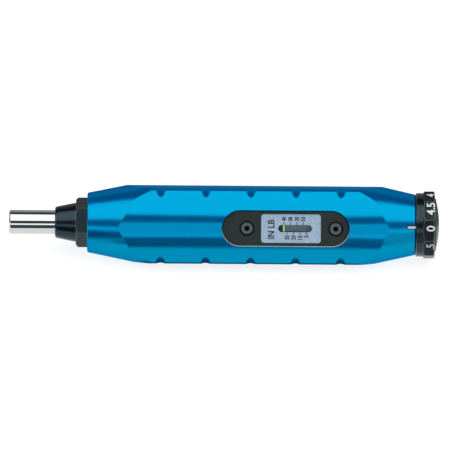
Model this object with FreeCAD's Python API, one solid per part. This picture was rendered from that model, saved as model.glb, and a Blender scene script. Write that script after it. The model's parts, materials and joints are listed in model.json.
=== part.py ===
"""Micrometer-adjustable torque screwdriver, one STEP file for each piece.

The tool is modelled with its axis along X: the drive socket's mouth is at x = 0 and the dial is at
the far end. The window's normal is +Z. At the end every piece is rolled onto one of the handle's
three lands, so that the tool lies as it comes to rest, with the origin under its middle.
"""

import FreeCAD, Part
import math
import os

from FreeCAD import Vector

# ---------------------------------------------------------------- Driving sizes, in millimetres

# Lengths along the axis, from the drive end to the dial
SHAFT_REACH = 19.9
NOSE_LENGTH = 9.15
NUT_LENGTH = 4.95
HANDLE_LENGTH = 142.6
RING_LENGTH = 3.3
DIAL_LENGTH = 5.0
CAP_RISE = 1.9

# Handle: a hexagon bar with three corners milled to lands, turned down at both ends
ACROSS_FLATS = 33.3
LAND_RADIUS = 15.75
LAND_BLEND = 14.0
RIDGE_ROUND = 3.5
FRONT_END_RADIUS = 12.95
FRONT_TAPER = 0.205
REAR_END_RADIUS = 13.15
REAR_TAPER = 0.226
END_CHAMFER = 0.4
GROOVE_COUNT = 5
GROOVE_PITCH = 19.55
GROOVE_MIDDLE = 71.05
GROOVE_NOSE = 2.4
GROOVE_BOTTOM = 17.5
CHAMBER_RADIUS = 10.0
REAR_THREAD_RADIUS = 10.5
REAR_THREAD_LENGTH = 10.9

# Window: bezel, scale plate and slot
WINDOW_MIDDLE = 86.2
BEZEL_LENGTH = 55.2
BEZEL_WIDTH = 15.6
BEZEL_FLOOR = 12.0
BEZEL_TOP = 14.2
BEZEL_CHAMFER = 0.35
PLATE_OFFSET = 2.3
PLATE_LENGTH = 25.9
PLATE_WIDTH = 12.6
PLATE_CORNER = 1.3
PLATE_THICKNESS = 0.6
PLATE_SINK = 0.25
SLOT_OFFSET = 1.8
SLOT_LENGTH = 14.75
SLOT_WIDTH = 3.2

# Bezel screws, set in from the bezel's ends
GUIDE_SCREW_INSET = 10.8
BEZEL_SCREW_INSET = 5.9
SCREW_RADIUS = 1.5
SCREW_HEAD_RADIUS = 2.9
SCREW_HEAD_HEIGHT = 1.4
SCREW_SOCKET = 2.0
SCREW_SOCKET_DEPTH = 0.9
SCREW_CHAMFER = 0.3
COUNTERBORE_RADIUS = 3.3
DOG_RADIUS = 1.2

# Nose: cone, hexagon nut, bush and seal
NOSE_FACE_RADIUS = 6.9
NOSE_EDGE = 1.0
NOSE_TAPER = 0.205
SPIGOT_RADIUS = 7.5
SPIGOT_LENGTH = 15.4
NUT_ACROSS_FLATS = 18.8
NUT_CHAMFER = 1.0
NUT_TURN = 46.5
BUSH_RADIUS = 6.3
BUSH_LENGTH = 17.4
SEAL_WIRE = 1.5

# Drive shaft and its bit socket
SHAFT_RADIUS = 5.25
SHAFT_CHAMFER = 0.6
SOCKET_ACROSS_FLATS = 6.35
SOCKET_DEPTH = 12.0
SOCKET_LEAD = 0.5
MAGNET_RADIUS = 2.45
MAGNET_LENGTH = 3.0
FLANGE_RADIUS = 8.8
FLANGE_LENGTH = 5.0
PILOT_RADIUS = 3.0
PILOT_LENGTH = 8.0

# Clutch
DETENT_COUNT = 12
BALL_COUNT = 6
BALL_RADIUS = 1.75
BALL_CIRCLE = 6.6
BALL_SINK = 0.8
BALL_GRIP = 0.3
CLUTCH_PLATE_LENGTH = 6.0
CLUTCH_SLEEVE_LENGTH = 20.0
LUG_WIDTH = 3.0
LUG_LENGTH = 4.0
LUG_RADIUS = 9.7
THRUST_WASHER = 1.5

# Spring and its seats
SEAT_RADIUS = 8.3
SEAT_LENGTH = 2.0
SEAT_BOSS_RADIUS = 4.9
SEAT_BOSS_LENGTH = 2.0
SPRING_MEAN_RADIUS = 6.4
SPRING_WIRE_WIDTH = 2.6
SPRING_WIRE_HEIGHT = 2.3
SPRING_COILS = 6.0
SPRING_LENGTH = 38.0

# Adjuster
NUT_BODY_LENGTH = 12.0
SLEEVE_RADIUS = 9.8
SLEEVE_BORE = 8.5
SLEEVE_LENGTH = 49.0
SLEEVE_LEAD = 12.6
LEAD_RADIUS = 4.0
LEAD_FREE_LENGTH = 2.5
COLLAR_RADIUS = 8.0
COLLAR_LENGTH = 3.0
INDICATOR_TRAVEL = 9.8

# Rear ring and dial
RING_RADIUS = 13.85
RING_CHAMFER = 0.5
DIAL_FACETS = 10
DIAL_CORNER_RADIUS = 14.8
DIAL_EDGE = 0.6
DIAL_TURN = -1.9
CAP_RADIUS = 11.4
CAP_CROWN_RADIUS = 10.4
CAP_STEP = 0.6
CAP_EDGE = 0.3
CAP_SEAT_DEPTH = 1.8
FRICTION_WASHER_RADIUS = 9.0
FRICTION_WASHER_LENGTH = 0.8
TAIL_RADIUS = 3.0
TAIL_FLAT = 2.4
DIAL_SCREW_RADIUS = 1.5
DIAL_SCREW_LENGTH = 8.0
DIAL_SCREW_HEAD = 2.9
DIAL_SCREW_HEAD_HEIGHT = 1.3

# Clearances
SEATED = 0.02
RUNNING = 0.06
LOOSE = 0.1
FREE = 0.2
DIAL_GAP = 0.15
POCKET_GAP = 0.15

# How the tool lies: the roll that brings the next land under the axis
REST_ROLL = 60.0

# ---------------------------------------------------------------- Places along the axis

NOSE_FACE = SHAFT_REACH
NUT_FACE = NOSE_FACE + NOSE_LENGTH
HANDLE_FRONT = NUT_FACE + NUT_LENGTH
RING_FACE = HANDLE_FRONT + HANDLE_LENGTH
DIAL_FACE = RING_FACE + RING_LENGTH + DIAL_GAP
DIAL_BACK = DIAL_FACE + DIAL_LENGTH
TOOL_LENGTH = DIAL_BACK + CAP_RISE

CHAMBER_FRONT = NUT_FACE + SPIGOT_LENGTH
FLANGE_FACE = CHAMBER_FRONT + THRUST_WASHER + LOOSE
FLANGE_BACK = FLANGE_FACE + FLANGE_LENGTH
BALL_STATION = FLANGE_BACK + BALL_RADIUS - BALL_SINK
CLUTCH_FACE = BALL_STATION + BALL_GRIP
CLUTCH_BACK = CLUTCH_FACE + CLUTCH_PLATE_LENGTH
SPRING_FRONT = CLUTCH_BACK + SEAT_LENGTH
SPRING_BACK = SPRING_FRONT + SPRING_LENGTH
NUT_BODY_FRONT = SPRING_BACK + SEAT_LENGTH
SLEEVE_FRONT = NUT_BODY_FRONT - SLEEVE_LEAD
PLUG_FRONT = RING_FACE - REAR_THREAD_LENGTH
COLLAR_BACK = PLUG_FRONT - THRUST_WASHER - LOOSE
CAP_SEAT = DIAL_BACK - CAP_SEAT_DEPTH
TAIL_END = CAP_SEAT - DIAL_SCREW_HEAD_HEIGHT - FREE

BEZEL_MIDDLE = HANDLE_FRONT + WINDOW_MIDDLE
PLATE_MIDDLE = BEZEL_MIDDLE + PLATE_OFFSET
SLOT_MIDDLE = PLATE_MIDDLE + SLOT_OFFSET
GUIDE_SCREW_STATION = BEZEL_MIDDLE - BEZEL_LENGTH / 2 + GUIDE_SCREW_INSET
BEZEL_SCREW_STATION = BEZEL_MIDDLE + BEZEL_LENGTH / 2 - BEZEL_SCREW_INSET
COUNTERBORE_FLOOR = BEZEL_TOP - SCREW_HEAD_HEIGHT - LOOSE

AXIS = Vector(1, 0, 0)
WINDOW_ANGLE = 90.0


# ---------------------------------------------------------------- Building blocks

def rod(radius, start, end):
    """Cylinder on the tool's axis."""
    return Part.makeCylinder(radius, end - start, Vector(start, 0, 0), AXIS)


def tube(outer, inner, start, end):
    """Hollow cylinder on the tool's axis."""
    return rod(outer, start, end).cut(rod(inner, start, end))


def turned(profile):
    """Solid of revolution about the axis from (station, radius) points."""
    points = [Vector(station, radius, 0) for station, radius in profile]
    face = Part.Face(Part.makePolygon(points + points[:1]))
    return face.revolve(Vector(0, 0, 0), AXIS, 360)


def around(radius, angle, station=0.0):
    """Point at an angle about the axis, counted from +Y towards +Z."""
    turn = math.radians(angle)
    return Vector(station, radius * math.cos(turn), radius * math.sin(turn))


def corner_radius(across_flats, sides=6):
    """Radius of the corners of a regular prism."""
    return across_flats / 2 / math.cos(math.pi / sides)


def regular_prism(radius, sides, first_corner, start, end):
    """Prism on the axis with a regular polygon for its section."""
    corners = [around(radius, first_corner + 360 * i / sides, start) for i in range(sides)]
    face = Part.Face(Part.makePolygon(corners + corners[:1]))
    return face.extrude(Vector(end - start, 0, 0))


def rounded_face(corners):
    """Flat face from (point, radius) corners, each rounded by a tangent arc."""
    arcs = []
    for index, (point, radius) in enumerate(corners):
        arrive = (point - corners[index - 1][0]).normalize()
        leave = (corners[(index + 1) % len(corners)][0] - point).normalize()
        half_turn = arrive.getAngle(leave) / 2
        reach = radius * math.tan(half_turn)
        inward = (leave - arrive).normalize()
        middle = point + inward * (radius / math.cos(half_turn) - radius)
        arcs.append(Part.Arc(point - arrive * reach, middle, point + leave * reach))
    edges = []
    for index, arc in enumerate(arcs):
        edges.append(Part.LineSegment(arcs[index - 1].EndPoint, arc.StartPoint).toShape())
        edges.append(arc.toShape())
    return Part.Face(Part.Wire(edges))


def stadium(length, width, middle, floor, top):
    """Upright block with round ends, long way along the axis."""
    half = (length - width) / 2
    radius = width / 2
    front = Vector(middle - half, 0, floor)
    back = Vector(middle + half, 0, floor)
    side = Vector(0, radius, 0)
    edges = [
        Part.LineSegment(front - side, back - side).toShape(),
        Part.Arc(back - side, back + AXIS * radius, back + side).toShape(),
        Part.LineSegment(back + side, front + side).toShape(),
        Part.Arc(front + side, front - AXIS * radius, front - side).toShape(),
    ]
    return Part.Face(Part.Wire(edges)).extrude(Vector(0, 0, top - floor))


def rounded_block(length, width, corner, middle, floor, top):
    """Upright block with a rounded rectangle for its outline."""
    corners = []
    for along, across in ((-1, -1), (1, -1), (1, 1), (-1, 1)):
        point = Vector(middle + along * length / 2, across * width / 2, floor)
        corners.append((point, corner))
    return rounded_face(corners).extrude(Vector(0, 0, top - floor))


def post(radius, station, floor, top):
    """Upright cylinder under the window."""
    return Part.makeCylinder(radius, top - floor, Vector(station, 0, floor))


def repeated(shape, count):
    """Copies of a shape spaced evenly about the axis."""
    copies = []
    for i in range(count):
        copy = shape.copy()
        copy.rotate(Vector(0, 0, 0), AXIS, 360 * i / count)
        copies.append(copy)
    return copies


# ---------------------------------------------------------------- Handle and window

def handle_section():
    """Hexagon with three alternate corners milled to lands, on a plane across the axis."""
    corner = corner_radius(ACROSS_FLATS)
    land_half = (corner - LAND_RADIUS) / math.tan(math.radians(30))
    blend = min(LAND_BLEND, 0.95 * land_half / math.tan(math.radians(15)))
    corners = []
    for i in range(6):
        angle = 30.0 + 60.0 * i
        if i % 2 == 0:
            corners.append((around(corner, angle, HANDLE_FRONT), RIDGE_ROUND))
            continue
        middle = around(LAND_RADIUS, angle, HANDLE_FRONT)
        along_land = around(land_half, angle + 90)
        corners.append((middle - along_land, blend))
        corners.append((middle + along_land, blend))
    return rounded_face(corners)


def handle_turning():
    """What the lathe leaves: a cone at each end and full size between."""
    full = corner_radius(ACROSS_FLATS) + 1
    front_cone = (full - FRONT_END_RADIUS) / FRONT_TAPER
    rear_cone = (full - REAR_END_RADIUS) / REAR_TAPER
    return turned([
        (HANDLE_FRONT, 0),
        (HANDLE_FRONT, FRONT_END_RADIUS - END_CHAMFER),
        (HANDLE_FRONT + END_CHAMFER, FRONT_END_RADIUS + FRONT_TAPER * END_CHAMFER),
        (HANDLE_FRONT + front_cone, full),
        (RING_FACE - rear_cone, full),
        (RING_FACE - END_CHAMFER, REAR_END_RADIUS + REAR_TAPER * END_CHAMFER),
        (RING_FACE, REAR_END_RADIUS - END_CHAMFER),
        (RING_FACE, 0),
    ])


def grip_grooves():
    """Turned ring grooves that nick the ridges."""
    first = HANDLE_FRONT + GROOVE_MIDDLE - GROOVE_PITCH * (GROOVE_COUNT - 1) / 2
    centre_radius = GROOVE_BOTTOM + GROOVE_NOSE
    rings = []
    for i in range(GROOVE_COUNT):
        station = Vector(first + GROOVE_PITCH * i, 0, 0)
        rings.append(Part.makeTorus(centre_radius, GROOVE_NOSE, station, AXIS))
    return rings


def window_slot(extra, floor, top):
    """The sight slot, larger all round by extra."""
    return stadium(SLOT_LENGTH + 2 * extra, SLOT_WIDTH + 2 * extra, SLOT_MIDDLE, floor, top)


def build_handle():
    bar = handle_section().extrude(Vector(HANDLE_LENGTH, 0, 0))
    body = bar.common(handle_turning())
    cuts = grip_grooves()
    cuts.append(rod(SPIGOT_RADIUS + SEATED, HANDLE_FRONT, CHAMBER_FRONT))
    cuts.append(rod(CHAMBER_RADIUS, CHAMBER_FRONT, PLUG_FRONT))
    cuts.append(rod(REAR_THREAD_RADIUS + SEATED, PLUG_FRONT, RING_FACE))
    pocket_top = LAND_RADIUS + 1
    cuts.append(stadium(BEZEL_LENGTH + 2 * POCKET_GAP, BEZEL_WIDTH + 2 * POCKET_GAP,
                        BEZEL_MIDDLE, BEZEL_FLOOR, pocket_top))
    cuts.append(window_slot(FREE, 0, BEZEL_TOP))
    for station in (GUIDE_SCREW_STATION, BEZEL_SCREW_STATION):
        cuts.append(post(SCREW_RADIUS + SEATED, station, 0, BEZEL_TOP))
    return body.cut(cuts)


def build_window_bezel():
    plate = stadium(BEZEL_LENGTH, BEZEL_WIDTH, BEZEL_MIDDLE, BEZEL_FLOOR, BEZEL_TOP)
    rim = [edge for edge in plate.Edges if edge.BoundBox.ZMin > BEZEL_TOP - 0.01]
    plate = plate.makeChamfer(BEZEL_CHAMFER, rim)
    recess_floor = BEZEL_TOP - PLATE_SINK - PLATE_THICKNESS
    cuts = [
        rounded_block(PLATE_LENGTH + 2 * LOOSE, PLATE_WIDTH + 2 * LOOSE, PLATE_CORNER + LOOSE,
                      PLATE_MIDDLE, recess_floor, BEZEL_TOP + 1),
        window_slot(LOOSE, BEZEL_FLOOR - 1, BEZEL_TOP),
    ]
    for station in (GUIDE_SCREW_STATION, BEZEL_SCREW_STATION):
        cuts.append(post(SCREW_RADIUS + LOOSE, station, BEZEL_FLOOR - 1, BEZEL_TOP))
        cuts.append(post(COUNTERBORE_RADIUS, station, COUNTERBORE_FLOOR, BEZEL_TOP + 1))
    return plate.cut(cuts)


def build_scale_plate():
    top = BEZEL_TOP - PLATE_SINK
    plate = rounded_block(PLATE_LENGTH, PLATE_WIDTH, PLATE_CORNER, PLATE_MIDDLE,
                          top - PLATE_THICKNESS, top)
    return plate.cut(window_slot(0, 0, BEZEL_TOP))


def socket_screw(station, shank_end, dog_end=None):
    """Low-head socket screw standing in the bezel, with a plain dog point if one is asked for."""
    head_top = COUNTERBORE_FLOOR + SCREW_HEAD_HEIGHT
    head = post(SCREW_HEAD_RADIUS, station, COUNTERBORE_FLOOR, head_top)
    rim = [edge for edge in head.Edges if edge.BoundBox.ZMin > head_top - 0.01]
    head = head.makeChamfer(SCREW_CHAMFER, rim)
    screw = head.fuse(post(SCREW_RADIUS, station, shank_end, COUNTERBORE_FLOOR))
    if dog_end is not None:
        screw = screw.fuse(post(DOG_RADIUS, station, dog_end, shank_end))
    corners = []
    for i in range(6):
        turn = math.radians(60 * i)
        reach = corner_radius(SCREW_SOCKET)
        corners.append(Vector(station + reach * math.cos(turn), reach * math.sin(turn),
                              head_top - SCREW_SOCKET_DEPTH))
    hexagon = Part.Face(Part.makePolygon(corners + corners[:1]))
    return screw.cut(hexagon.extrude(Vector(0, 0, SCREW_SOCKET_DEPTH + 1)))


SHANK_END = CHAMBER_RADIUS + LOOSE
DOG_END = SLEEVE_BORE + FREE


# ---------------------------------------------------------------- Nose and drive

def build_nose_cone():
    shoulder = NOSE_FACE_RADIUS + NOSE_TAPER * (NOSE_LENGTH - NOSE_EDGE)
    body = turned([
        (NOSE_FACE, 0),
        (NOSE_FACE, NOSE_FACE_RADIUS - NOSE_EDGE),
        (NOSE_FACE + NOSE_EDGE * 0.3, NOSE_FACE_RADIUS - NOSE_EDGE * 0.3),
        (NOSE_FACE + NOSE_EDGE, NOSE_FACE_RADIUS),
        (NUT_FACE, shoulder),
        (NUT_FACE, SPIGOT_RADIUS),
        (CHAMBER_FRONT, SPIGOT_RADIUS),
        (CHAMBER_FRONT, 0),
    ])
    bush_front = CHAMBER_FRONT - BUSH_LENGTH
    seal_front = bush_front - SEAL_WIRE - LOOSE
    cuts = [
        rod(SHAFT_RADIUS + FREE, NOSE_FACE, seal_front),
        rod(SHAFT_RADIUS + SEAL_WIRE + LOOSE, seal_front, bush_front),
        rod(BUSH_RADIUS + SEATED, bush_front, CHAMBER_FRONT),
    ]
    return body.cut(cuts)


def build_nose_nut():
    corner = corner_radius(NUT_ACROSS_FLATS)
    blank = regular_prism(corner, 6, NUT_TURN, NUT_FACE, HANDLE_FRONT)
    envelope = turned([
        (NUT_FACE, 0),
        (NUT_FACE, corner - NUT_CHAMFER),
        (NUT_FACE + NUT_CHAMFER, corner),
        (HANDLE_FRONT, corner),
        (HANDLE_FRONT, 0),
    ])
    return blank.common(envelope).cut(rod(SPIGOT_RADIUS + SEATED, NUT_FACE, HANDLE_FRONT))


def build_front_bush():
    return tube(BUSH_RADIUS, SHAFT_RADIUS + RUNNING, CHAMBER_FRONT - BUSH_LENGTH, CHAMBER_FRONT)


def build_shaft_seal():
    station = CHAMBER_FRONT - BUSH_LENGTH - (SEAL_WIRE + LOOSE) / 2
    ring_radius = SHAFT_RADIUS + RUNNING + SEAL_WIRE / 2
    return Part.makeTorus(ring_radius, SEAL_WIRE / 2, Vector(station, 0, 0), AXIS)


def build_drive_shaft():
    body = turned([
        (0, 0),
        (0, SHAFT_RADIUS - SHAFT_CHAMFER),
        (SHAFT_CHAMFER, SHAFT_RADIUS),
        (FLANGE_FACE, SHAFT_RADIUS),
        (FLANGE_FACE, FLANGE_RADIUS),
        (FLANGE_BACK, FLANGE_RADIUS),
        (FLANGE_BACK, PILOT_RADIUS),
        (FLANGE_BACK + PILOT_LENGTH, PILOT_RADIUS),
        (FLANGE_BACK + PILOT_LENGTH, 0),
    ])
    mouth = corner_radius(SOCKET_ACROSS_FLATS) + LOOSE
    pocket = Part.makeSphere(BALL_RADIUS + LOOSE, around(BALL_CIRCLE, WINDOW_ANGLE, BALL_STATION))
    cuts = repeated(pocket, DETENT_COUNT)
    cuts.append(regular_prism(corner_radius(SOCKET_ACROSS_FLATS), 6, 0, 0, SOCKET_DEPTH))
    cuts.append(turned([(0, 0), (0, mouth), (SOCKET_LEAD, mouth - SOCKET_LEAD), (SOCKET_LEAD, 0)]))
    cuts.append(rod(MAGNET_RADIUS + SEATED, 0, SOCKET_DEPTH + MAGNET_LENGTH))
    return body.cut(cuts)


def build_bit_magnet():
    return rod(MAGNET_RADIUS, SOCKET_DEPTH, SOCKET_DEPTH + MAGNET_LENGTH)


# ---------------------------------------------------------------- Clutch and spring

def build_front_thrust_washer():
    return tube(FLANGE_RADIUS, SHAFT_RADIUS + FREE, CHAMBER_FRONT, CHAMBER_FRONT + THRUST_WASHER)


def lug_bars(width, radius, start, end):
    """Two flat bars through the axis, as the lugs or as the slots they run in."""
    box = Part.makeBox(end - start, 2 * radius, width, Vector(start, -radius, -width / 2))
    return box.common(rod(radius, start, end))


def build_clutch_sleeve():
    sleeve_end = CHAMBER_FRONT + CLUTCH_SLEEVE_LENGTH
    sleeve = tube(CHAMBER_RADIUS - SEATED, FLANGE_RADIUS + FREE, CHAMBER_FRONT, sleeve_end)
    slots = lug_bars(LUG_WIDTH + 2 * LOOSE, CHAMBER_RADIUS, CLUTCH_BACK - LUG_LENGTH - FREE,
                     sleeve_end)
    return sleeve.cut(slots)


def build_clutch_balls():
    """One loose ball for each cup in the clutch plate."""
    ball = Part.makeSphere(BALL_RADIUS, around(BALL_CIRCLE, WINDOW_ANGLE, BALL_STATION))
    return Part.makeCompound(repeated(ball, BALL_COUNT))


def build_clutch_plate():
    disc = rod(FLANGE_RADIUS, CLUTCH_FACE, CLUTCH_BACK)
    lugs = lug_bars(LUG_WIDTH, LUG_RADIUS, CLUTCH_BACK - LUG_LENGTH, CLUTCH_BACK)
    cup = Part.makeSphere(BALL_RADIUS + SEATED, around(BALL_CIRCLE, WINDOW_ANGLE, BALL_STATION))
    cuts = repeated(cup, BALL_COUNT)
    cuts.append(rod(PILOT_RADIUS + LOOSE, CLUTCH_FACE, CLUTCH_BACK))
    return disc.fuse(lugs).cut(cuts)


def spring_seat(face, spring_side):
    """Flat washer with a boss that stands into the spring; spring_side is +1 or -1."""
    back = face - spring_side * SEAT_LENGTH
    tip = face + spring_side * SEAT_BOSS_LENGTH
    disc = rod(SEAT_RADIUS, min(face, back), max(face, back))
    boss = rod(SEAT_BOSS_RADIUS, min(face, tip), max(face, tip))
    bore = rod(LEAD_RADIUS + FREE, min(back, tip), max(back, tip))
    return disc.fuse(boss).cut(bore)


def build_main_spring():
    """Rectangular-wire spring with its ends ground flat."""
    pitch = (SPRING_LENGTH + SPRING_WIRE_HEIGHT) / SPRING_COILS
    start = SPRING_FRONT - SPRING_WIRE_HEIGHT / 2
    helix = Part.makeHelix(pitch, SPRING_LENGTH + SPRING_WIRE_HEIGHT, SPRING_MEAN_RADIUS)
    inner = SPRING_MEAN_RADIUS - SPRING_WIRE_WIDTH / 2
    outer = SPRING_MEAN_RADIUS + SPRING_WIRE_WIDTH / 2
    half = SPRING_WIRE_HEIGHT / 2
    section = Part.makePolygon([
        Vector(inner, 0, -half),
        Vector(outer, 0, -half),
        Vector(outer, 0, half),
        Vector(inner, 0, half),
        Vector(inner, 0, -half),
    ])
    coil = Part.Wire(helix.Edges).makePipeShell([section], True, True)
    coil.rotate(Vector(0, 0, 0), Vector(0, 1, 0), 90)
    coil.translate(Vector(start, 0, 0))
    return coil.common(rod(outer + 1, SPRING_FRONT, SPRING_BACK))


# ---------------------------------------------------------------- Adjuster

def build_adjust_nut():
    return tube(SLEEVE_BORE - SEATED, LEAD_RADIUS + RUNNING, NUT_BODY_FRONT,
                NUT_BODY_FRONT + NUT_BODY_LENGTH)


def build_indicator_sleeve():
    """Tube on the adjusting nut that shows through the slot, keyed by the guide screw's dog."""
    sleeve = tube(SLEEVE_RADIUS, SLEEVE_BORE, SLEEVE_FRONT, SLEEVE_FRONT + SLEEVE_LENGTH)
    key_width = 2 * (DOG_RADIUS + LOOSE)
    keyway = stadium(INDICATOR_TRAVEL + key_width, key_width,
                     GUIDE_SCREW_STATION - INDICATOR_TRAVEL / 2, 0, SLEEVE_RADIUS + 1)
    return sleeve.cut(keyway)


def build_lead_screw():
    thread_front = NUT_BODY_FRONT - SEAT_LENGTH - LEAD_FREE_LENGTH
    body = turned([
        (thread_front, 0),
        (thread_front, LEAD_RADIUS - END_CHAMFER),
        (thread_front + END_CHAMFER, LEAD_RADIUS),
        (COLLAR_BACK - COLLAR_LENGTH, LEAD_RADIUS),
        (COLLAR_BACK - COLLAR_LENGTH, COLLAR_RADIUS),
        (COLLAR_BACK, COLLAR_RADIUS),
        (COLLAR_BACK, LEAD_RADIUS),
        (DIAL_FACE, LEAD_RADIUS),
        (DIAL_FACE, TAIL_RADIUS),
        (TAIL_END, TAIL_RADIUS),
        (TAIL_END, 0),
    ])
    flat = Part.makeBox(TAIL_END - DIAL_FACE, 2 * TAIL_RADIUS, TAIL_RADIUS,
                        Vector(DIAL_FACE, -TAIL_RADIUS, TAIL_FLAT))
    hole = rod(DIAL_SCREW_RADIUS + SEATED, TAIL_END - DIAL_SCREW_LENGTH - FREE, TAIL_END)
    return body.cut([flat, hole])


# ---------------------------------------------------------------- Rear ring and dial

def build_rear_plug():
    body = turned([
        (PLUG_FRONT, 0),
        (PLUG_FRONT, REAR_THREAD_RADIUS),
        (RING_FACE, REAR_THREAD_RADIUS),
        (RING_FACE, RING_RADIUS - RING_CHAMFER),
        (RING_FACE + RING_CHAMFER, RING_RADIUS),
        (RING_FACE + RING_LENGTH, RING_RADIUS),
        (RING_FACE + RING_LENGTH, 0),
    ])
    return body.cut(rod(LEAD_RADIUS + RUNNING, PLUG_FRONT, RING_FACE + RING_LENGTH))


def build_rear_thrust_washer():
    return tube(CHAMBER_RADIUS - FREE, LEAD_RADIUS + FREE, PLUG_FRONT - THRUST_WASHER, PLUG_FRONT)


def build_dial():
    half_facet = 180 / DIAL_FACETS
    first_corner = WINDOW_ANGLE - DIAL_TURN - half_facet
    blank = regular_prism(DIAL_CORNER_RADIUS, DIAL_FACETS, first_corner, DIAL_FACE, DIAL_BACK)
    envelope = turned([
        (DIAL_FACE, 0),
        (DIAL_FACE, DIAL_CORNER_RADIUS - DIAL_EDGE),
        (DIAL_FACE + DIAL_EDGE, DIAL_CORNER_RADIUS),
        (DIAL_BACK - DIAL_EDGE, DIAL_CORNER_RADIUS),
        (DIAL_BACK, DIAL_CORNER_RADIUS - 2 * DIAL_EDGE),
        (DIAL_BACK, 0),
    ])
    tail = rod(TAIL_RADIUS + SEATED, DIAL_FACE, TAIL_END)
    flat_width = 2 * (TAIL_RADIUS + SEATED)
    flat = Part.makeBox(TAIL_END - DIAL_FACE, flat_width, TAIL_RADIUS,
                        Vector(DIAL_FACE, -flat_width / 2, TAIL_FLAT + SEATED))
    cuts = [
        tail.cut(flat),
        rod(DIAL_SCREW_HEAD + LOOSE, TAIL_END, CAP_SEAT),
        rod(CAP_RADIUS + SEATED, CAP_SEAT, DIAL_BACK),
        tube(FRICTION_WASHER_RADIUS + LOOSE, LEAD_RADIUS + LOOSE, DIAL_FACE,
             DIAL_FACE + FRICTION_WASHER_LENGTH - SEATED),
    ]
    return blank.common(envelope).cut(cuts)


def build_friction_washer():
    back = DIAL_FACE + FRICTION_WASHER_LENGTH - SEATED
    return tube(FRICTION_WASHER_RADIUS, LEAD_RADIUS + FREE, back - FRICTION_WASHER_LENGTH, back)


def build_dial_screw():
    head_back = TAIL_END + DIAL_SCREW_HEAD_HEIGHT
    head = rod(DIAL_SCREW_HEAD, TAIL_END, head_back)
    shank = rod(DIAL_SCREW_RADIUS, TAIL_END - DIAL_SCREW_LENGTH, TAIL_END)
    depth = SCREW_SOCKET_DEPTH
    drive = regular_prism(corner_radius(SCREW_SOCKET), 6, 0, head_back - depth, head_back + 1)
    return head.fuse(shank).cut(drive)


def build_dial_cap():
    """Pressed-in cap with a step and a low spherical dome."""
    step = DIAL_BACK + CAP_STEP
    rise = TOOL_LENGTH - step
    dome_radius = (CAP_CROWN_RADIUS ** 2 + rise ** 2) / (2 * rise)
    half_angle = math.asin(CAP_CROWN_RADIUS / dome_radius) / 2
    dome_middle = Vector(TOOL_LENGTH - dome_radius * (1 - math.cos(half_angle)),
                         dome_radius * math.sin(half_angle), 0)
    outline = [
        Vector(TOOL_LENGTH, 0, 0),
        Vector(CAP_SEAT, 0, 0),
        Vector(CAP_SEAT, CAP_RADIUS, 0),
        Vector(step - CAP_EDGE, CAP_RADIUS, 0),
        Vector(step, CAP_RADIUS - CAP_EDGE, 0),
        Vector(step, CAP_CROWN_RADIUS, 0),
    ]
    edges = [Part.LineSegment(a, b).toShape() for a, b in zip(outline, outline[1:])]
    edges.append(Part.Arc(outline[-1], dome_middle, outline[0]).toShape())
    return Part.Face(Part.Wire(edges)).revolve(Vector(0, 0, 0), AXIS, 360)


# ---------------------------------------------------------------- Every piece, by name

PIECES = {
    "handle": build_handle,
    "nose_cone": build_nose_cone,
    "nose_nut": build_nose_nut,
    "front_bush": build_front_bush,
    "shaft_seal": build_shaft_seal,
    "drive_shaft": build_drive_shaft,
    "bit_magnet": build_bit_magnet,
    "front_thrust_washer": build_front_thrust_washer,
    "clutch_sleeve": build_clutch_sleeve,
    "clutch_plate": build_clutch_plate,
    "clutch_balls": build_clutch_balls,
    "front_spring_seat": lambda: spring_seat(SPRING_FRONT, 1),
    "main_spring": build_main_spring,
    "rear_spring_seat": lambda: spring_seat(SPRING_BACK, -1),
    "adjust_nut": build_adjust_nut,
    "indicator_sleeve": build_indicator_sleeve,
    "lead_screw": build_lead_screw,
    "rear_thrust_washer": build_rear_thrust_washer,
    "rear_plug": build_rear_plug,
    "friction_washer": build_friction_washer,
    "dial": build_dial,
    "dial_screw": build_dial_screw,
    "dial_cap": build_dial_cap,
    "window_bezel": build_window_bezel,
    "scale_plate": build_scale_plate,
    "guide_screw": lambda: socket_screw(GUIDE_SCREW_STATION, SHANK_END, DOG_END),
    "bezel_screw": lambda: socket_screw(BEZEL_SCREW_STATION, SHANK_END),
}


def laid_down(shape):
    """The shape rolled onto a land, with the origin on the surface under the tool's middle."""
    placed = shape.copy()
    placed.rotate(Vector(0, 0, 0), AXIS, REST_ROLL)
    placed.translate(Vector(-TOOL_LENGTH / 2, 0, LAND_RADIUS))
    return placed


os.makedirs("parts", exist_ok=True)
for name, build in PIECES.items():
    laid_down(build()).exportStep(f"parts/{name}.step")
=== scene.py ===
"""Looks of the torque screwdriver: finishes for its pieces, the printing and the studio."""

import json
import math

import bmesh
import bpy
from mathutils import Matrix, Vector


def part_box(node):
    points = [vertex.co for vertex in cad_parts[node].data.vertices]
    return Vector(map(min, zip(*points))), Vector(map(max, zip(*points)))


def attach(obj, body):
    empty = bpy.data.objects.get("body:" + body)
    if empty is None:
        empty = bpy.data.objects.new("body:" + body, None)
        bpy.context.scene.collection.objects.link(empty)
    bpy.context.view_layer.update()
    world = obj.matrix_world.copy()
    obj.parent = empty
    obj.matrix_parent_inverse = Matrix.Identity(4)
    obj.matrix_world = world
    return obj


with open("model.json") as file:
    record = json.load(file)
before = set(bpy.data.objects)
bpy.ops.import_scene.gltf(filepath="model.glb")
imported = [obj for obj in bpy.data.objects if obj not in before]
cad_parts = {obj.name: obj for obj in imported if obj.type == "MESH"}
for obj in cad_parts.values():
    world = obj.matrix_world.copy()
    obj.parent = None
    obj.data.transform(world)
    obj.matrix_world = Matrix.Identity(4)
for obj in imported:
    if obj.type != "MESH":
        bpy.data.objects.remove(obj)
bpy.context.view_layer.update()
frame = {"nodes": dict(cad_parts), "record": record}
nodes = frame["nodes"]

MM = 0.001

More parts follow.
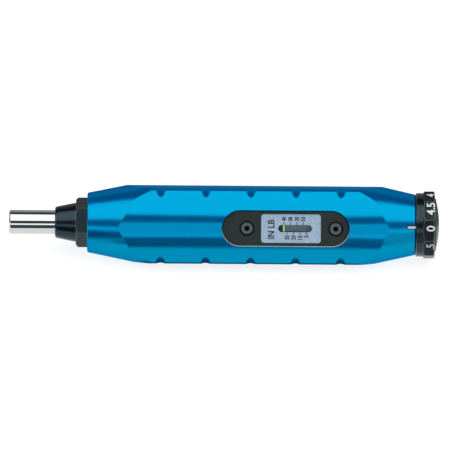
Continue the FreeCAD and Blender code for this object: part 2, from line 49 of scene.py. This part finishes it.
# ---------------------------------------------------------------- Places taken from the frame

AXIS_HEIGHT = (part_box("drive_shaft")[0].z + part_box("drive_shaft")[1].z) / 2
NOSE_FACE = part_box("nose_cone")[0].x
HANDLE_FRONT, HANDLE_BACK = (corner.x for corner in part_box("handle"))
DIAL_FRONT, DIAL_BACK = (corner.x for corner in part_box("dial"))
PLATE_FRONT, PLATE_BACK = (corner.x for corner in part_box("scale_plate"))
PLATE_MIDDLE = (PLATE_FRONT + PLATE_BACK) / 2
BEZEL_FRONT, BEZEL_BACK = (corner.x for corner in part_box("window_bezel"))
BEZEL_MIDDLE = (BEZEL_FRONT + BEZEL_BACK) / 2
BEZEL_HALF_LENGTH = (BEZEL_BACK - BEZEL_FRONT) / 2

# The window's frame: X along the axis, Y across the window and Z out of it
WINDOW_TILT = math.radians(60)
WINDOW = Matrix.Translation((0, 0, AXIS_HEIGHT)) @ Matrix.Rotation(WINDOW_TILT, 4, "X")
ACROSS = 1
OUT = 2


def window_reach(node, direction):
    """Furthest that a node reaches from the axis along one direction of the window's frame."""
    back = WINDOW.inverted()
    return max((back @ vertex.co)[direction] for vertex in nodes[node].data.vertices)


PLATE_TOP = window_reach("scale_plate", OUT)
BEZEL_TOP = window_reach("window_bezel", OUT)
BEZEL_HALF_WIDTH = window_reach("window_bezel", ACROSS)

# The scale beside the slot, and the place along it where the line stands at rest
TICK_PITCH = 1.4 * MM
TICK_COUNT = 8
SLOT_OFFSET = 1.8 * MM
READING = PLATE_MIDDLE + SLOT_OFFSET - TICK_PITCH * (TICK_COUNT - 1) / 2
LINE_WIDTH = 0.66 * MM


# ---------------------------------------------------------------- Shader arithmetic

class Term:
    """A node's output that adds Math nodes when it is used in an expression."""

    def __init__(self, recipe, socket):
        self.recipe = recipe
        self.socket = socket

    def maths(self, operation, *values):
        return self.recipe.add("ShaderNodeMath", {"operation": operation}, dict(enumerate(values)))

    def __add__(self, other):
        return self.maths("ADD", self, other)

    def __sub__(self, other):
        return self.maths("SUBTRACT", self, other)

    def __mul__(self, other):
        return self.maths("MULTIPLY", self, other)

    def __rsub__(self, other):
        return self.maths("SUBTRACT", other, self)

    __radd__ = __add__
    __rmul__ = __mul__

    def beside(self, name):
        """Another output of the same node."""
        return Term(self.recipe, self.socket.node.outputs[name])

    def absolute(self):
        return self.maths("ABSOLUTE", self)

    def root(self):
        return self.maths("SQRT", self)

    def above(self, limit, soft):
        """0 below the limit and 1 above it, with a soft step between."""
        settings = {"interpolation_type": "SMOOTHSTEP"}
        values = {"Value": self, "From Min": limit - soft, "From Max": limit + soft}
        return self.recipe.add("ShaderNodeMapRange", settings, values)

    def within(self, low, high, soft):
        """1 between two limits and 0 outside them."""
        return self.above(low, soft) * (1 - self.above(high, soft))


EDGE_ALIKE = 0.985
EDGE_FADE = 0.012
BLACK = (0, 0, 0)
WHITE = (1, 1, 1)


class Recipe:
    """The node tree of one material or world, written as expressions."""

    def __init__(self, owner, end="ShaderNodeOutputMaterial"):
        self.owner = owner
        self.end = end
        owner.use_nodes = True
        self.tree = owner.node_tree
        self.tree.nodes.clear()

    def node(self, kind, settings=None, values=None):
        """A new node with its settings, then its sockets' values or links."""
        node = self.tree.nodes.new(kind)
        for key, setting in (settings or {}).items():
            setattr(node, key, setting)
        for key, value in (values or {}).items():
            self.feed(node.inputs[key], value)
        return node

    def add(self, kind, settings=None, values=None, output=0):
        """One output of a new node."""
        return Term(self, self.node(kind, settings, values).outputs[output])

    def feed(self, socket, value):
        if isinstance(value, Term):
            self.tree.links.new(value.socket, socket)
        elif socket.type == "RGBA" and len(value) == 3:
            socket.default_value = (*value, 1)
        else:
            socket.default_value = value

    def place(self):
        """Position on the object, in metres."""
        return self.add("ShaderNodeTexCoord", output="Object")

    def split(self, vector):
        """The three numbers of a vector."""
        along = self.add("ShaderNodeSeparateXYZ", None, {"Vector": vector}, "X")
        return along, along.beside("Y"), along.beside("Z")

    def window_place(self):
        """Along the axis and across the window, in metres."""
        along, across, up = self.split(self.place())
        raised = up - AXIS_HEIGHT
        return along, across * math.cos(WINDOW_TILT) + raised * math.sin(WINDOW_TILT)

    def stretched(self, vector, scale):
        """Coordinates scaled along each axis."""
        values = {"Vector": vector, "Scale": scale}
        return self.add("ShaderNodeMapping", {"vector_type": "POINT"}, values)

    def noise(self, vector, scale, detail=2.0):
        values = {"Vector": vector, "Scale": scale, "Detail": detail}
        return self.add("ShaderNodeTexNoise", None, values)

    def colour_mix(self, mask, below, above):
        settings = {"data_type": "RGBA"}
        return self.add("ShaderNodeMix", settings, {0: mask, 6: below, 7: above}, output=2)

    def toned(self, colour, tone):
        """A colour that a tone below 1 darkens."""
        return self.colour_mix(tone, BLACK, colour)

    def bump(self, height, depth, strength, normal=None):
        values = {"Height": height, "Distance": depth, "Strength": strength}
        if normal is not None:
            values["Normal"] = normal
        return self.add("ShaderNodeBump", None, values)

    def soft_edges(self, radius):
        return self.add("ShaderNodeBevel", {"samples": 6}, {"Radius": radius})

    def worn_edges(self, radius):
        """1 near sharp edges and 0 on flat ground; the mask for a painted highlight along edges."""
        flat = self.add("ShaderNodeNewGeometry", output="Normal")
        settings = {"operation": "DOT_PRODUCT"}
        values = {0: self.soft_edges(radius), 1: flat}
        alike = self.add("ShaderNodeVectorMath", settings, values, "Value")
        return 1 - alike.above(EDGE_ALIKE, EDGE_FADE)

    def principled(self, colour, roughness, normal, metallic=1.0, extra=None):
        values = {"Base Color": colour, "Roughness": roughness, "Normal": normal,
                  "Metallic": metallic}
        values.update(extra or {})
        return self.add("ShaderNodeBsdfPrincipled", None, values)

    def finish(self, shader):
        """Wire the shader to the output and give the material or world back."""
        self.node(self.end, None, {"Surface": shader})
        return self.owner

    def metal(self, colour, roughness, normal, metallic=1.0):
        return self.finish(self.principled(colour, roughness, normal, metallic))


def new_recipe(name):
    """A recipe for a new material."""
    return Recipe(bpy.data.materials.new(name))


# ---------------------------------------------------------------- Finishes

# Grain that runs one way: cells to the metre along X, Y and Z
DRAWN_GRAIN = (40, 1500, 1500)
LATHE_GRAIN = (4000, 60, 60)
BRUSHED_GRAIN = (300, 6000, 6000)

# Grain that is alike in every direction: cells to the metre
SOFT_CLOUD = 90.0
LATHE_CLOUD = 120.0
COAT_CLOUD = 150.0
PLATE_CLOUD = 700.0
RIM_GRIT = 1500.0
BLAST_GRIT = 2500.0
PAINT_SPECKLE = 3000.0
FLOOR_GRAIN = 400.0

GRAIN_DEPTH = 0.02 * MM
FINE_DEPTH = 0.01 * MM
GRIT_DEPTH = 0.03 * MM
GRIP_EDGE = 0.2 * MM
SCREW_EDGE = 0.15 * MM
COAT_EDGE = 0.1 * MM
HAZE_SHARE = 0.22


def machined(name, colour, roughness, edge=0.12, grain=0.35, edge_highlight=None):
    """Metal with faint lengthwise grain, small tone changes and softened edges."""
    recipe = new_recipe(name)
    place = recipe.place()
    streaks = recipe.noise(recipe.stretched(place, DRAWN_GRAIN), 1.0)
    cloud = recipe.noise(place, SOFT_CLOUD, 3.0)
    tinted = recipe.toned(colour, 0.94 + 0.12 * cloud)
    # Painted highlight: a lighter colour along the sharp edges, where they would catch the light.
    if edge_highlight:
        tinted = recipe.colour_mix(recipe.worn_edges(2 * edge * MM), tinted, edge_highlight)
    gloss = roughness + 0.06 * streaks + 0.05 * cloud
    normal = recipe.bump(streaks, GRAIN_DEPTH, grain, recipe.soft_edges(edge * MM))
    return recipe.metal(tinted, gloss, normal)


def blue_grip(name, colour, haze, roughness):
    """Satin blue anodising: dyed metal under a thin milky layer."""
    recipe = new_recipe(name)
    place = recipe.place()
    streaks = recipe.noise(recipe.stretched(place, DRAWN_GRAIN), 1.0)
    cloud = recipe.noise(place, SOFT_CLOUD, 3.0)
    tone = 0.94 + 0.12 * cloud
    normal = recipe.bump(streaks, GRAIN_DEPTH, 0.14, recipe.soft_edges(GRIP_EDGE))
    gloss = roughness + 0.06 * streaks + 0.05 * cloud
    blue_rim = {"Specular Tint": (0.1, 0.5, 0.75)}
    dyed = recipe.principled(recipe.toned(colour, tone), gloss, normal, 1.0, blue_rim)
    no_gloss = {"Specular IOR Level": 0.0}
    milky = recipe.principled(recipe.toned(haze, tone), 0.9, normal, 0.0, no_gloss)
    share = HAZE_SHARE + 0.04 * cloud
    return recipe.finish(recipe.add("ShaderNodeMixShader", None, {0: share, 1: dyed, 2: milky}))


def turned_metal(name, colour, roughness, edge=0.12, grain=0.35, edge_highlight=None):
    """Metal with fine rings left by the lathe."""
    recipe = new_recipe(name)
    place = recipe.place()
    rings = recipe.noise(recipe.stretched(place, LATHE_GRAIN), 1.0)
    cloud = recipe.noise(place, LATHE_CLOUD, 3.0)
    tinted = recipe.toned(colour, 0.93 + 0.14 * cloud)
    # Painted highlight: a lighter colour along the sharp edges, where they would catch the light.
    if edge_highlight:
        tinted = recipe.colour_mix(recipe.worn_edges(2 * edge * MM), tinted, edge_highlight)
    normal = recipe.bump(rings, FINE_DEPTH, grain, recipe.soft_edges(edge * MM))
    return recipe.metal(tinted, roughness + 0.08 * rings, normal)


def powder_black(name, colour, roughness, grain_size, depth):
    """Finely textured black coating."""
    recipe = new_recipe(name)
    place = recipe.place()
    grit = recipe.noise(place, 1 / (grain_size * MM), 4.0)
    cloud = recipe.noise(place, COAT_CLOUD, 2.0)
    lighter = tuple(2.2 * channel for channel in colour)
    tinted = recipe.colour_mix(grit.above(0.52, 0.2), colour, lighter)
    normal = recipe.bump(grit, depth * MM, 0.8, recipe.soft_edges(COAT_EDGE))
    return recipe.metal(tinted, roughness + 0.15 * cloud, normal, 0.6)


def plain_soft(name, colour, roughness, grain_size):
    """Moulded rubber or nylon."""
    recipe = new_recipe(name)
    grain = recipe.noise(recipe.place(), 1 / (grain_size * MM), 3.0)
    tinted = recipe.toned(colour, 0.85 + 0.3 * grain)
    normal = recipe.bump(grain, GRAIN_DEPTH, 0.5)
    return recipe.metal(tinted, roughness + 0.1 * grain, normal, 0.0)


def printed(name, colour):
    """Paint that fills a mark."""
    recipe = new_recipe(name)
    speckle = recipe.noise(recipe.place(), PAINT_SPECKLE, 2.0)
    tinted = recipe.toned(colour, 0.9 + 0.2 * speckle)
    normal = recipe.bump(speckle, FINE_DEPTH, 0.4)
    return recipe.metal(tinted, 0.45 + 0.1 * speckle, normal, 0.0)


def brushed_plate(name):
    """Bright rolled sheet with a clouded, lightly brushed face."""
    recipe = new_recipe(name)
    place = recipe.place()
    brushing = recipe.noise(recipe.stretched(place, BRUSHED_GRAIN), 1.0)
    cloud = recipe.noise(place, PLATE_CLOUD, 3.0)
    mixed = 0.45 * brushing + 0.55 * cloud
    dull = (0.42, 0.56, 0.74)
    bright = (0.6, 0.77, 0.94)
    tinted = recipe.colour_mix(mixed.above(0.5, 0.25), dull, bright)
    normal = recipe.bump(mixed, GRIT_DEPTH, 0.5)
    return recipe.metal(tinted, 0.42 + 0.2 * mixed, normal, 0.55)


SOCKET_REACH = 1.05 * MM
RING_INSIDE = 1.25 * MM
RING_OUTSIDE = 2.35 * MM


def screw_finish(name):
    """Blackened screws: a dished ring lightened by a painted highlight round a hexagon socket
    darkened by painted shade.
    """
    recipe = new_recipe(name)
    along, across = recipe.window_place()
    grit = recipe.noise(recipe.place(), BLAST_GRIT, 2.0)
    spans = []
    for node in ("guide_screw", "bezel_screw"):
        low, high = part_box(node)
        spans.append((along - (low.x + high.x) / 2).absolute())
    near = spans[0].maths("MINIMUM", *spans)
    reach = (near * near + across * across).root()
    # Painted highlight: the ring of each head is lightened as if it caught the light.
    highlight_ring = reach.within(RING_INSIDE, RING_OUTSIDE, 0.25 * MM)
    # Painted shade: the hexagon socket is darkened as if shaded inside its recess.
    socket = (0.004, 0.005, 0.006)
    head = (0.03, 0.036, 0.04)
    # Lighter tone of the head: the painted highlight on the ring, and grit that lightens it at
    # random.
    ring_highlight_and_grit = (0.2, 0.23, 0.25)
    metal = recipe.colour_mix(0.6 * highlight_ring + 0.4 * grit, head, ring_highlight_and_grit)
    tinted = recipe.colour_mix(reach.above(SOCKET_REACH, 0.12 * MM), socket, metal)
    normal = recipe.bump(grit, GRAIN_DEPTH, 0.5, recipe.soft_edges(SCREW_EDGE))
    return recipe.metal(tinted, 0.32 + 0.15 * grit, normal)


def rim_finish(name):
    """Bare chamfer, darkened almost to black on its upper side by painted shade."""
    recipe = new_recipe(name)
    _, across = recipe.window_place()
    grit = recipe.noise(recipe.place(), RIM_GRIT, 2.0)
    bare = recipe.colour_mix(grit, (0.26, 0.38, 0.44), (0.4, 0.5, 0.56))
    # Painted shade: the upper side is darkened as if shaded by the pocket's upper wall.
    upper_side_shade = (0.012, 0.02, 0.03)
    tinted = recipe.colour_mix(across.above(-1.5 * MM, 3.0 * MM), bare, upper_side_shade)
    normal = recipe.bump(grit, FINE_DEPTH, 0.3)
    return recipe.metal(tinted, 0.3 + 0.1 * grit, normal)


def indicator_finish(name):
    """Grey blasted sleeve with a bright line that has a painted glow, dark green ahead of the line.
    """
    recipe = new_recipe(name)
    place = recipe.place()
    along, _, _ = recipe.split(place)
    grit = recipe.noise(place, BLAST_GRIT, 3.0)
    grey = recipe.colour_mix(grit, (0.4, 0.5, 0.46), (0.6, 0.72, 0.68))
    green = recipe.colour_mix(grit, (0.08, 0.17, 0.11), (0.14, 0.28, 0.18))
    halves = recipe.colour_mix(along.above(READING, 0.02 * MM), green, grey)
    line = along.within(READING - LINE_WIDTH / 2, READING + LINE_WIDTH / 2, 0.03 * MM)
    yellow = (1.0, 1.0, 0.4)
    tinted = recipe.colour_mix(line, halves, yellow)
    normal = recipe.bump(grit, GRIT_DEPTH, 0.6)
    # Painted light: the line glows by emission so that it stays bright in the shade of the slot.
    glow = {"Emission Color": recipe.colour_mix(line, BLACK, (0.75, 1.0, 0.2)),
            "Emission Strength": 0.4}
    return recipe.finish(recipe.principled(tinted, 0.55 + 0.2 * grit, normal, 0.0, glow))


FINISHES = {
    "blue_anodised": blue_grip("blue_anodised", (0.0005, 0.34, 0.535), (0.002, 0.2, 0.82), 0.17),
    # The light edge colours given below are painted highlights along the edges.
    "black_anodised": turned_metal("black_anodised", (0.035, 0.054, 0.066), 0.2, 0.25, 0.25,
                                   edge_highlight=(0.12, 0.16, 0.17)),
    "dial_black": machined("dial_black", (0.02, 0.028, 0.031), 0.3, 0.22, 0.3,
                           edge_highlight=(0.16, 0.2, 0.21)),
    "chrome": turned_metal("chrome", (0.7, 0.725, 0.74), -0.02, 0.12, 0.02),
    "steel": turned_metal("steel", (0.45, 0.46, 0.48), 0.28),
    "dark_screw": screw_finish("dark_screw"),
    "bronze": turned_metal("bronze", (0.5, 0.32, 0.15), 0.3),
    "spring_steel": machined("spring_steel", (0.32, 0.33, 0.35), 0.35),
    "magnet": turned_metal("magnet", (0.6, 0.6, 0.62), 0.15),
    "scale_silver": brushed_plate("scale_silver"),
    "indicator_grey": indicator_finish("indicator_grey"),
    "seal_rubber": plain_soft("seal_rubber", (0.015, 0.015, 0.016), 0.6, 0.3),
    "nylon": plain_soft("nylon", (0.75, 0.75, 0.7), 0.5, 0.4),
    "bezel_black": powder_black("bezel_black", (0.024, 0.031, 0.03), 0.42, 0.22, 0.05),
    "bare_edge": rim_finish("bare_edge"),
    "white_paint": printed("white_paint", (0.86, 0.87, 0.87)),
    "black_paint": printed("black_paint", (0.006, 0.007, 0.009)),
}

for part in frame["record"]["subparts"]:
    for slot in nodes[part["node"]].material_slots:
        slot.material = FINISHES[part["material_slot"]]
nodes["window_bezel"].material_slots[0].material = FINISHES["bezel_black"]


# ---------------------------------------------------------------- Making and placing marks

INK = 0.03 * MM
MERGE = 0.0005 * MM
QUARTER_TURN = Matrix.Rotation(math.radians(90), 4, "Z")


def keep(mesh, name, body, finish):
    """The mesh as a piece of the object that rides on a body."""
    mesh.materials.clear()
    mesh.materials.append(FINISHES[finish])
    piece = bpy.data.objects.new(name, mesh)
    bpy.context.scene.collection.objects.link(piece)
    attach(piece, body)


def baked(shape, name):
    """The finished bmesh as a mesh."""
    mesh = bpy.data.meshes.new(name)
    shape.to_mesh(mesh)
    shape.free()
    return mesh


def joined(meshes, name):
    """One mesh that holds all of the given ones, with their seams closed."""
    whole = bmesh.new()
    for mesh in meshes:
        whole.from_mesh(mesh)
    bmesh.ops.remove_doubles(whole, verts=whole.verts, dist=MERGE)
    bmesh.ops.dissolve_degenerate(whole, edges=whole.edges, dist=MERGE)
    return baked(whole, name)


def lettering(text, height, width, weight):
    """Flat lettering centred on the origin, as tall and as wide as asked for."""
    curve = bpy.data.curves.new("lettering", "FONT")
    curve.body = text
    curve.offset = weight
    curve.extrude = 0.5
    curve.resolution_u = 6
    letters = bpy.data.objects.new("lettering", curve)
    bpy.context.scene.collection.objects.link(letters)
    bpy.context.view_layer.update()
    mesh = bpy.data.meshes.new_from_object(letters)
    bpy.data.objects.remove(letters)
    low = Vector(min(v.co[i] for v in mesh.vertices) for i in range(3))
    high = Vector(max(v.co[i] for v in mesh.vertices) for i in range(3))
    size = high - low
    scale = Matrix.Diagonal((width / size.x, height / size.y, INK / size.z, 1))
    mesh.transform(scale @ Matrix.Translation(-(low + high) / 2))
    return mesh


def bar(length, width, thickness):
    """Flat bar centred on the origin, long way along X."""
    shape = bmesh.new()
    bmesh.ops.create_cube(shape, size=1, matrix=Matrix.Diagonal((length, width, thickness, 1)))
    return baked(shape, "bar")


def on_window(mesh, along, across):
    """Lay a flat mark on the scale plate."""
    mesh.transform(WINDOW @ Matrix.Translation((along, across, PLATE_TOP + INK / 2)))
    return mesh


def on_round(mesh, along, angle, radius, raised=0.0):
    """Lay a flat mark at an angle above the window's middle line, then raise it along its facet."""
    roll = Matrix.Rotation(math.radians(-angle), 4, "X")
    mesh.transform(WINDOW @ roll @ Matrix.Translation((along, raised, radius)))
    return mesh


def upright(mesh):
    """Turn lettering so that it reads across the axis."""
    mesh.transform(QUARTER_TURN)
    return mesh


# ---------------------------------------------------------------- Printing on the scale

TICK_LENGTH = 1.05 * MM
TICK_WIDTH = 0.34 * MM
TICK_GAP = 0.08 * MM
SLOT_HALF = 1.6 * MM
FIRST_VALUE = 40
VALUE_STEP = 5
VALUE_HEIGHT = 1.9 * MM
VALUE_WIDTH = 1.85 * MM
ONE_DIGIT_WIDTH = 0.85 * MM
VALUE_WEIGHT = 0.035
UPPER_VALUES = 4.25 * MM
LOWER_VALUES = -3.95 * MM
UNIT_HEIGHT = 2.85 * MM
UNIT_WIDTH = 8.4 * MM
UNIT_INSET = 4.3 * MM
UNIT_ACROSS = -0.3 * MM
LETTER_WEIGHT = 0.02


def scale_print():
    """Ticks and numbers of the scale: tens above the slot, fives below it."""
    marks = []
    for i in range(TICK_COUNT):
        value = FIRST_VALUE - VALUE_STEP * i
        along = READING + TICK_PITCH * i
        side = 1 if value % 10 == 0 else -1
        across = side * (SLOT_HALF + TICK_GAP + TICK_LENGTH / 2)
        marks.append(on_window(bar(TICK_WIDTH, TICK_LENGTH, INK), along, across))
        width = VALUE_WIDTH if value > 9 else ONE_DIGIT_WIDTH
        row = UPPER_VALUES if side > 0 else LOWER_VALUES + (VALUE_WIDTH - width) / 2
        number = lettering(str(value), VALUE_HEIGHT, width, VALUE_WEIGHT)
        marks.append(on_window(upright(number), along, row))
    unit = upright(lettering("IN LB", UNIT_HEIGHT, UNIT_WIDTH, LETTER_WEIGHT))
    marks.append(on_window(unit, PLATE_FRONT + UNIT_INSET, UNIT_ACROSS))
    return joined(marks, "scale_print")


keep(scale_print(), "scale_print", "handle_body", "black_paint")


# ---------------------------------------------------------------- Edge of the window's pocket

RIM_GAP = 0.1 * MM
RIM_CHAMFER = 0.28 * MM
RIM_SINK = 0.02 * MM
RIM_STEPS = 120
SIDE_BIAS = 1e-6


def grip_height(along, across):
    """Height of the grip's outside over the axis, at a place of the window's frame."""
    start = WINDOW @ Vector((along, across, 2 * AXIS_HEIGHT))
    inward = WINDOW.to_3x3() @ Vector((0, 0, -1))
    found, place, _, _ = nodes["handle"].ray_cast(start, inward)
    return (WINDOW.inverted() @ place).z if found else BEZEL_TOP


def pocket_rim():
    """Bare chamfered edge of the pocket that the bezel is set into."""
    radius = BEZEL_HALF_WIDTH + RIM_GAP
    half_straight = BEZEL_HALF_LENGTH - BEZEL_HALF_WIDTH
    shape = bmesh.new()
    spot = shape.verts.layers.int.new("spot")
    bmesh.ops.create_circle(shape, segments=RIM_STEPS, radius=radius)
    outline = []
    for i, vertex in enumerate(shape.verts):
        ray = vertex.co.normalized()
        centre = Vector((BEZEL_MIDDLE + math.copysign(half_straight, ray.x + SIDE_BIAS), 0, 0))
        outer = centre + ray * (radius + RIM_GAP)
        height = grip_height(outer.x, outer.y) - RIM_SINK
        outline.append((centre, ray, height))
        vertex[spot] = i
        vertex.co = centre + ray * radius
        vertex.co.z = height
    first = list(shape.edges)
    loop = first
    for inset, reaches_bezel in ((RIM_CHAMFER, False), (RIM_CHAMFER, True), (0.0, True)):
        grown = bmesh.ops.extrude_edge_only(shape, edges=loop)["geom"]
        loop = [item for item in grown if isinstance(item, bmesh.types.BMEdge)]
        for vertex in {end for edge in loop for end in edge.verts}:
            centre, ray, height = outline[vertex[spot]]
            vertex.co = centre + ray * (radius - inset)
            vertex.co.z = BEZEL_TOP - RIM_SINK if reaches_bezel else height - RIM_CHAMFER
    bmesh.ops.bridge_loops(shape, edges=first + loop)
    bmesh.ops.recalc_face_normals(shape, faces=shape.faces)
    shape.transform(WINDOW)
    return baked(shape, "pocket_rim")


keep(pocket_rim(), "pocket_rim", "handle_body", "bare_edge")


# ---------------------------------------------------------------- Marks on the dial and the taper

DIAL_FACETS = 10
DIAL_STEP = 360 / DIAL_FACETS
DIAL_CORNER_RADIUS = 14.8 * MM
FACET_RADIUS = DIAL_CORNER_RADIUS * math.cos(math.pi / DIAL_FACETS)
DIAL_TURN = -1.9
NUMBER_OFFSET = 0.6 * MM
NUMBER_RISE = 0.95 * MM
NUMBER_HEIGHT = 3.7 * MM
DIGIT_WIDTH = 2.7 * MM
NARROW_ONE = 0.45
WIDTH_IN_DIGITS = {1: 0.95, 2: 1.25, 3: 2.15}


def dial_print():
    """Numbers from 0 to 4.5, one on each facet of the dial."""
    marks = []
    middle = (DIAL_FRONT + DIAL_BACK) / 2 + NUMBER_OFFSET
    for i in range(DIAL_FACETS):
        text = f"{i / 2:g}".removeprefix("0") or "0"
        digits = NARROW_ONE if text == "1" else WIDTH_IN_DIGITS[len(text)]
        number = upright(lettering(text, NUMBER_HEIGHT, digits * DIGIT_WIDTH, LETTER_WEIGHT))
        angle = DIAL_TURN - DIAL_STEP * i
        marks.append(on_round(number, middle, angle, FACET_RADIUS + INK / 2, NUMBER_RISE))
    return joined(marks, "dial_print")


keep(dial_print(), "dial_print", "dial_group", "white_paint")

INDEX_ANGLE = 3.5
INDEX_LENGTH = 3.4 * MM
INDEX_WIDTH = 0.87 * MM
INDEX_BORDER = 0.35 * MM
INDEX_LIFT = 1.5 * INK
TAPER_SLOPE = 0.226
END_RADIUS = 13.15 * MM


def index_bar(length, width, lift):
    """Bar that lies on the handle's rear taper and ends at the handle's rear face."""
    mesh = bar(length, width, 2 * INK)
    mesh.transform(Matrix.Rotation(math.atan(TAPER_SLOPE), 4, "Y"))
    middle_radius = END_RADIUS + TAPER_SLOPE * length / 2
    return on_round(mesh, HANDLE_BACK - length / 2, INDEX_ANGLE, middle_radius + lift)


# The black border round the index mark is painted shade that stands for the shadow of a groove's
# walls; it uses the black print finish.
keep(index_bar(INDEX_LENGTH + INDEX_BORDER, INDEX_WIDTH + 2 * INDEX_BORDER, 0.0),
     "index_groove_shade", "handle_body", "black_paint")
keep(index_bar(INDEX_LENGTH, INDEX_WIDTH, INDEX_LIFT),
     "index_mark", "handle_body", "white_paint")


# ---------------------------------------------------------------- Studio

# Limits of the floor's bright and dark stretches, which only mirror-like surfaces show
POOL = (-42 * MM, 20 * MM)
SHADE_FROM = -18.5 * MM
SHADE_INSET = 24 * MM
BEHIND_FROM = 30 * MM
END_PATCH = (-110 * MM, -30 * MM)
NOSE_END = HANDLE_FRONT - 2 * MM
DIAL_END = HANDLE_BACK + 2 * MM

# How bright they are, and how bright the floor looks when it is seen straight
DARK_GROUND = 0.06
GRIP_GROUND = 0.08
POOL_GLOW = 0.87
BEHIND_GLOW = 0.27
END_GLOW = 0.6
VIEW_GLOW = 0.83

FLOOR_HALF_SIZE = 3.0
FLOOR_TONES = ((0.38, 0.38, 0.38), (0.42, 0.42, 0.42))


def mirrored_floor(along, across):
    """Brightness of the floor in mirror-like surfaces."""
    barrel = along.within(HANDLE_FRONT + SHADE_INSET, HANDLE_BACK - SHADE_INSET, 3 * MM)
    shade = across.above(SHADE_FROM, 2 * MM) * barrel
    pool = across.within(*POOL, 3 * MM) * (1 - shade)
    behind = across.above(BEHIND_FROM, 10 * MM)
    past_nose = along.within(NOSE_FACE, NOSE_END, 2 * MM) * across.within(*END_PATCH, 10 * MM)
    past_dial = along.above(DIAL_END, 6 * MM) * (1 - across.above(END_PATCH[1], 10 * MM))
    ends = past_nose + past_dial
    ground = DARK_GROUND + GRIP_GROUND * along.above(HANDLE_FRONT, 4 * MM)
    return ground + POOL_GLOW * pool + BEHIND_GLOW * behind + END_GLOW * ends * (1 - pool)


def floor():
    """Pale floor that the screwdriver lies on."""
    shape = bmesh.new()
    bmesh.ops.create_grid(shape, x_segments=1, y_segments=1, size=FLOOR_HALF_SIZE)
    mesh = baked(shape, "floor")
    recipe = new_recipe("floor_white")
    place = recipe.place()
    along, across, _ = recipe.split(place)
    camera_ray = recipe.add("ShaderNodeLightPath", output="Is Camera Ray")
    glossy_ray = camera_ray.beside("Is Glossy Ray")
    glow = VIEW_GLOW * camera_ray + mirrored_floor(along, across) * glossy_ray
    seen = recipe.add("ShaderNodeEmission", None, {"Color": WHITE, "Strength": glow})
    shade = recipe.colour_mix(recipe.noise(place, FLOOR_GRAIN, 2.0), *FLOOR_TONES)
    matt = recipe.add("ShaderNodeBsdfDiffuse", None, {"Color": shade})
    unlit = recipe.add("ShaderNodeBsdfDiffuse", None, {"Color": BLACK})
    lit = recipe.add("ShaderNodeMixShader", None, {0: glossy_ray, 1: matt, 2: unlit})
    mesh.materials.append(recipe.finish(recipe.add("ShaderNodeAddShader", None, {0: lit, 1: seen})))
    ground = bpy.data.objects.new("floor", mesh)
    bpy.context.scene.collection.objects.link(ground)


# Strips of light, by the angle above the front horizon in degrees
OVERHEAD_STRIP = (50.0, 114.5)
FRONT_STRIP = (10.0, 23.5)
LOW_STRIP = (-12.0, 10.0)
BACK_FROM = 148.0
OVERHEAD_GLOW = 1.38
FRONT_GLOW = 1.35
BACK_GLOW = 0.3
LOW_GLOW = 0.6
FILL_GLOW = 0.06
COOL_WHITE = (0.84, 0.93, 1.0)


def studio_light():
    """Soft strips along the screwdriver: overhead, in front, weakly behind and low at the dial."""
    world = bpy.data.worlds.new("studio")
    bpy.context.scene.world = world
    recipe = Recipe(world, "ShaderNodeOutputWorld")
    along, across, up = recipe.split(recipe.add("ShaderNodeTexCoord", output="Generated"))
    angle = up.maths("ARCTAN2", up, 0 - across) * (180 / math.pi)
    overhead = angle.within(*OVERHEAD_STRIP, 1.5)
    front = angle.within(*FRONT_STRIP, 1.5)
    behind = angle.above(BACK_FROM, 8.0)
    low = angle.within(*LOW_STRIP, 2.0) * along.above(0.25, 0.06)
    strips = OVERHEAD_GLOW * overhead + FRONT_GLOW * front + BACK_GLOW * behind + LOW_GLOW * low
    camera_ray = recipe.add("ShaderNodeLightPath", output="Is Camera Ray")
    light = (FILL_GLOW + strips) * (1 - camera_ray) + camera_ray
    tint = recipe.colour_mix(front * (1 - camera_ray), WHITE, COOL_WHITE)
    recipe.finish(recipe.add("ShaderNodeBackground", None, {"Color": tint, "Strength": light}))


ELEVATION = math.radians(38.5)
ROLL = math.radians(0.43)
LENS = 900.0
SENSOR = 36.0
VIEW_WIDTH = 195.7 * MM
TARGET_ALONG = 0.39 * MM
TARGET_DROP = 0.7 * MM


def camera():
    """Long lens, from in front and above, with the axis almost level in the view."""
    away = Vector((0, -math.cos(ELEVATION), math.sin(ELEVATION)))
    up = Vector((0, math.sin(ELEVATION), math.cos(ELEVATION)))
    target = Vector((TARGET_ALONG, 0, AXIS_HEIGHT)) - up * TARGET_DROP
    distance = VIEW_WIDTH * LENS / SENSOR
    data = bpy.data.cameras.new("camera")
    data.lens = LENS
    data.sensor_width = SENSOR
    data.clip_start = 0.05
    data.clip_end = 20.0
    eye = bpy.data.objects.new("camera", data)
    turn = Matrix.Rotation(math.pi / 2 - ELEVATION, 4, "X") @ Matrix.Rotation(ROLL, 4, "Z")
    eye.matrix_world = Matrix.Translation(target + away * distance) @ turn
    bpy.context.scene.collection.objects.link(eye)
    bpy.context.scene.camera = eye


floor()
studio_light()
camera()
bpy.context.scene.view_settings.view_transform = "Standard"
